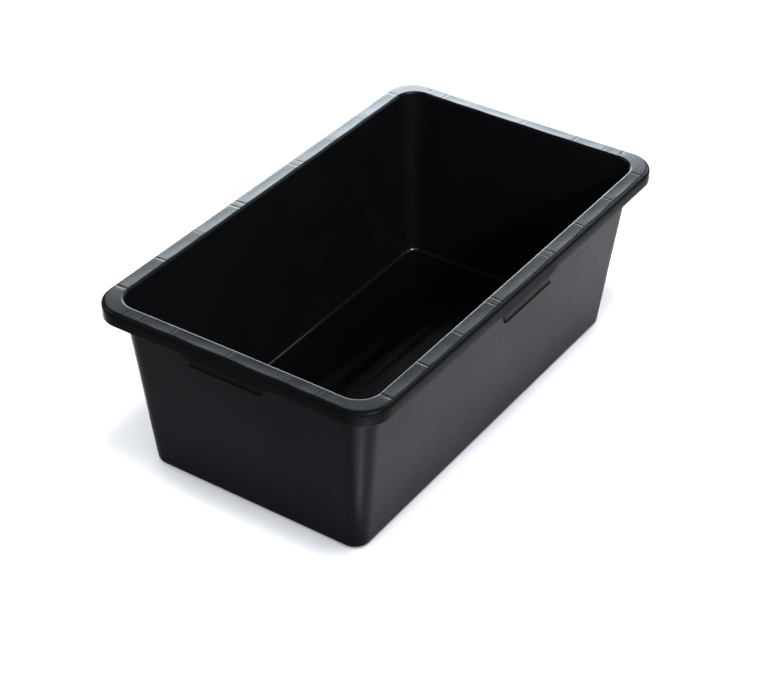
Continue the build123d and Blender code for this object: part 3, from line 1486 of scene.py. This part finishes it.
@dataclass
class RibRow:
    """The ribs of one side, between the wall and the skirt, as thin upright plates."""

    sizes: TubSizes
    finishes: Finishes
    side: Side
    thickness: float = 2.5 * MM
    bury: float = 1.0 * MM  # how far a rib goes into the wall
    edge_round: float = 0.5 * MM

    @property
    def node(self) -> str:
        """The CAD node that this row stands for."""
        return f"ribs_{self.side.name.lower()}"

    def places(self) -> list[float]:
        """Reads where the ribs are from the CAD node.

        Returns:
            Each rib's place along X or Y, lowest first.
        """
        axis = 0 if self.side.is_long else 1
        node = bpy.data.objects[self.node]
        faces = sorted({round(vertex.co[axis], 5) for vertex in node.data.vertices})
        return [(low + high) / 2 for low, high in zip(faces[::2], faces[1::2])]

    def rule(self, reach: float, height: float) -> Rule:
        """The tree that puts one rib on each point.

        Args:
            reach: Length of a rib, from the wall to the skirt.
            height: Its height.

        Returns:
            The tree.
        """
        values = {
            "Thickness": self.thickness,
            "Reach": reach,
            "Height": height,
            "Slope": self.sizes.wall_slope,
            "Turn": atan2(self.side.heading.y, self.side.heading.x) - pi / 2,
            "Finish": self.finishes.rib,
        }
        rule = Rule("rib_row", values)
        add = rule.board.add
        size = rule.vector(rule["Thickness"], rule["Reach"], rule["Height"])
        plate = add("GeometryNodeMeshCube", {"Size": size}).out()
        parts = add("ShaderNodeSeparateXYZ", {0: add("GeometryNodeInputPosition").out()})
        at_wall = add("FunctionNodeCompare", {"A": parts.out("Y"), "B": 0.0}, operation="LESS_THAN")
        lean = rule.vector(0.0, parts.out("Z") * rule["Slope"], 0.0)
        plate = add(
            "GeometryNodeSetPosition", {"Geometry": plate, "Selection": at_wall.out(), "Offset": lean}
        ).out()
        row = {
            "Points": rule["Geometry"],
            "Instance": plate,
            "Rotation": rule.vector(0.0, 0.0, rule["Turn"]),
        }
        rule.end(add("GeometryNodeInstanceOnPoints", row).out(), {"Finish": True})
        return rule

    def build(self) -> None:
        """Makes the row."""
        sizes, heading, direction = self.sizes, self.side.heading, self.side.direction
        low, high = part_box(self.node)
        middle_level = (low.z + high.z) / 2
        full = sizes.across(self.side)
        wall_face = sizes.wall_half(full, middle_level) + sizes.collar_step - self.bury
        skirt_face = full - sizes.skirt
        points = []
        for place in self.places():
            at = (wall_face + skirt_face) / 2 * heading
            at += place * Vector((abs(direction.x), abs(direction.y), 0.0))
            points.append((at.x, at.y, middle_level))
        start = bpy.data.meshes.new("rib_points")
        start.from_pydata(points, [], [])
        mesh = self.rule(skirt_face - wall_face, high.z - low.z).run(start)
        turn_outward(mesh)
        foot = low.z + 0.1 * MM
        round_edges(
            mesh, lambda edge: all(vertex.co.z < foot for vertex in edge.verts), self.edge_round, 2
        )
        finish_piece(mesh, f"{self.node}_moulded", Slot.RIM, self.node)


# --- Studio ---


def toward(azimuth: float, elevation: float) -> Vector:
    """The way from the tub to something, by degrees from +X towards +Y and degrees up."""
    around, up = radians(azimuth), radians(elevation)
    return Vector((cos(around) * cos(up), sin(around) * cos(up), sin(up)))


@dataclass(frozen=True)
class SoftLight:
    """A rectangular soft light, placed by the way it is seen from the tub."""

    name: str
    azimuth: float  # degrees from +X towards +Y
    elevation: float
    distance: float
    width: float
    height: float
    brightness: float  # watts for each square metre of its face
    target: Triple = (0.0, 0.0, 0.135)
    colour: Triple = (1.0, 1.0, 1.0)
    only_gloss: bool = False  # seen in reflections, but lights nothing
    only_diffuse: bool = False  # lights, but isn't seen in reflections

    def build(self) -> None:
        """Hangs the light."""
        data = bpy.data.lights.new(self.name, "AREA")
        data.shape = "RECTANGLE"
        data.size, data.size_y = self.width, self.height
        data.energy = self.brightness * self.width * self.height
        data.color = self.colour
        light = add_object(self.name, data)
        back = toward(self.azimuth, self.elevation)
        light.location = Vector(self.target) + back * self.distance
        light.rotation_euler = back.to_track_quat("Z", "Y").to_euler()
        light.visible_camera = False
        light.visible_diffuse = not self.only_gloss
        light.visible_glossy = not self.only_diffuse


@dataclass(frozen=True)
class FloorSheet:
    """A sheet on the floor that only the tub's gloss sees: a painted reflection, glowing for a painted
    highlight or grey for painted shade.
    """

    name: str
    corners: tuple[Pair, ...]
    lift: float  # above the floor, so that one sheet lies on another
    glow: float = 0.0  # its brightness, if it glows
    near_grey: float = 0.0  # beside the tub, if it doesn't glow
    far_grey: float = 0.0  # a third of the way out

    def finish(self) -> bpy.types.Material:
        """Builds the sheet's material.

        Returns:
            The new material.
        """
        board, made = Board.of_material(f"studio_{self.name}")
        if self.glow:
            board.show(board.add("ShaderNodeEmission", {"Color": (self.glow,) * 3 + (1.0,)}))
            return made
        across = board.add("ShaderNodeSeparateXYZ", {0: board.place()}).out("X")
        reach = [corner[0] for corner in self.corners]
        ramp = {0: across, 1: min(reach) / 3, 2: max(reach), 3: self.far_grey, 4: self.near_grey}
        grey = board.add("ShaderNodeMapRange", ramp).out()
        board.show(board.add("ShaderNodeBsdfDiffuse", {"Color": grey}))
        return made


@dataclass(frozen=True)
class Studio:
    """The pale floor, the soft lights and the camera."""

    floor_size: float = 40.0
    floor_colour: Triple = (0.86, 0.885, 0.93)
    floor_drop: float = 0.05 * MM  # below the tub's underside
    room_brightness: float = 1.35
    sheets: tuple[FloorSheet, ...] = (
        # grey sheet that only the tub's gloss sees: painted shade in the left wall's reflection of the
        # floor
        FloorSheet(
            "dark_cloth",
            ((-1.8, -0.2), (-0.31, -0.2), (-0.31, 1.2), (-1.8, 1.2)),
            0.32 * MM,
            near_grey=0.64,
            far_grey=0.25,
        ),
        # grey sheet that only the tub's gloss sees: painted shade in the front wall's reflection of the
        # floor, darker towards the right
        FloorSheet(
            "grey_cloth",
            ((-0.6, -1.5), (0.9, -1.5), (0.9, -0.36), (-0.6, -0.36)),
            0.32 * MM,
            near_grey=0.16,
            far_grey=0.72,
        ),
        # glowing sheets that only the tub's gloss sees: painted highlights, the strip one the bright line
        # down the front corner
        FloorSheet("glow_right", ((0.4, -0.1), (1.5, -0.1), (1.5, 0.9), (0.4, 0.9)), 0.88 * MM, 7.0),
        FloorSheet(
            "glow_back", ((-0.28, 0.25), (0.39, 0.25), (0.39, 1.2), (-0.28, 1.2)), 0.88 * MM, 7.0
        ),
        FloorSheet(
            "glow_wide",
            ((-0.36, -0.2), (-0.9, -0.34), (-0.42, -0.9), (-0.335, -0.215)),
            0.80 * MM,
            5.0,
        ),
        FloorSheet(
            "glow_strip",
            ((-0.372, -0.222), (-0.6, -0.5), (-0.56, -0.535), (-0.354, -0.236)),
            1.16 * MM,
            14.0,
        ),
    )
    lens: float = 92.74
    view_azimuth: float = 213.509  # degrees from +X towards +Y, from the tub to the camera
    view_elevation: float = 35.802
    view_roll: float = 0.592
    view_distance: float = 2.7263
    view_target: Triple = (-0.0855, -0.0524, 0.135)
    lights: tuple[SoftLight, ...] = (
        SoftLight("key", -112.0, 37.0, 3.2, 0.28, 0.28, 3000.0),
        SoftLight("front_glow", -62.0, 48.0, 3.0, 2.2, 1.6, 5.0, only_gloss=True),
        SoftLight("right_glow", -20.0, 26.0, 3.2, 2.0, 1.4, 22.0, only_gloss=True),
        SoftLight("back_glow", 118.0, 26.0, 3.2, 2.0, 1.4, 22.0, only_gloss=True),
        SoftLight("left_glow", 215.0, 30.0, 3.2, 2.4, 1.4, 16.0, only_gloss=True),
        SoftLight("overhead", 236.0, 77.0, 3.0, 0.9, 0.9, 155.0, only_diffuse=True),
        SoftLight(
            "backdrop", 34.5, 16.3, 3.0, 1.75, 1.5, 62.0, (0, 0, 0.25), (0.84, 0.93, 1.0), only_gloss=True
        ),
    )

    def build(self) -> None:
        """Sets everything up."""
        self.floor()
        for sheet in self.sheets:
            self.lay(sheet.name, sheet.corners, sheet.finish(), sheet.lift, only_gloss=True)
        self.room()
        for light in self.lights:
            light.build()
        self.light_tub_only("key")
        self.camera()
        bpy.context.scene.view_settings.view_transform = "Standard"

    @staticmethod
    def lay(
        name: str, corners: Sequence[Pair], finish: bpy.types.Material, level: float, only_gloss: bool
    ) -> None:
        """Lays something flat in the studio.

        Args:
            name: Its name, without the studio's.
            corners: Its corners from above, anticlockwise.
            finish: Its material.
            level: Its height.
            only_gloss: Whether only reflections show it.
        """
        mesh = bpy.data.meshes.new(f"studio_{name}")
        mesh.from_pydata([(*corner, 0.0) for corner in corners], [], [range(len(corners))])
        mesh.materials.append(finish)
        sheet = add_object(f"studio_{name}", mesh)
        sheet.location.z = level
        if only_gloss:
            sheet.visible_camera = sheet.visible_diffuse = sheet.visible_shadow = False
        sheet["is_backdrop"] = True

    def floor(self) -> None:
        """Lays the plain floor."""
        half = self.floor_size / 2
        board, made = Board.of_material("studio_white")
        board.show(board.add("ShaderNodeBsdfDiffuse", {"Color": (*self.floor_colour, 1.0)}))
        corners = ((-half, -half), (half, -half), (half, half), (-half, half))
        self.lay("floor", corners, made, -self.floor_drop, only_gloss=False)

    def room(self) -> None:
        """Fills the room with an even light, which the tub's gloss doesn't mirror."""
        world = bpy.data.worlds.new("studio_room")
        world.use_nodes = True
        grey = (self.room_brightness,) * 3
        world.node_tree.nodes["Background"].inputs["Color"].default_value = (*grey, 1.0)
        world.cycles_visibility.glossy = False
        bpy.context.scene.world = world

    @staticmethod
    def light_tub_only(name: str) -> None:
        """Keeps a light off the floor, so that the floor stays even.

        Args:
            name: The light's name.
        """
        lit = bpy.data.collections.new(f"{name}_lights")
        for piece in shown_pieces():
            lit.objects.link(piece)
        bpy.data.objects[name].light_linking.receiver_collection = lit

    def camera(self) -> None:
        """Puts up the camera."""
        data = bpy.data.cameras.new("view")
        data.lens = self.lens
        data.sensor_width = 36.0
        data.clip_start, data.clip_end = 0.05, 100.0
        camera = add_object("view", data)
        back = toward(self.view_azimuth, self.view_elevation)
        camera.matrix_world = (
            Matrix.Translation(Vector(self.view_target) + back * self.view_distance)
            @ back.to_track_quat("Z", "Y").to_matrix().to_4x4()
            @ Matrix.Rotation(radians(self.view_roll), 4, "Z")
        )
        bpy.context.scene.camera = camera


# --- The tub ---


@dataclass
class MixingTub:
    """The whole moulding, region by region."""

    sizes: TubSizes = field(default_factory=TubSizes.from_frame)
    finishes: Finishes = field(default_factory=Finishes)

    def build(self) -> None:
        """Makes every piece."""
        shared = (self.sizes, self.finishes)
        ribs = [RibRow(*shared, side) for side in Side]
        grips = [HandGrip.at(*shared, side) for side in Side]
        marks = (ribs[0].places(), ribs[3].places())
        FloorPan(*shared).build()
        SideWalls(*shared).build()
        RimFlange(*shared, marks).build()
        RimSkirt(*shared, (grips[0].half_top, grips[1].half_top)).build()
        for piece in grips + ribs:
            piece.build()


def main() -> None:
    """Builds the tub and the studio round the frame."""
    logging.basicConfig(level=logging.INFO, format="%(name)s: %(message)s")
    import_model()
    MixingTub().build()
    Studio().build()


if __name__ == "__main__":
    main()
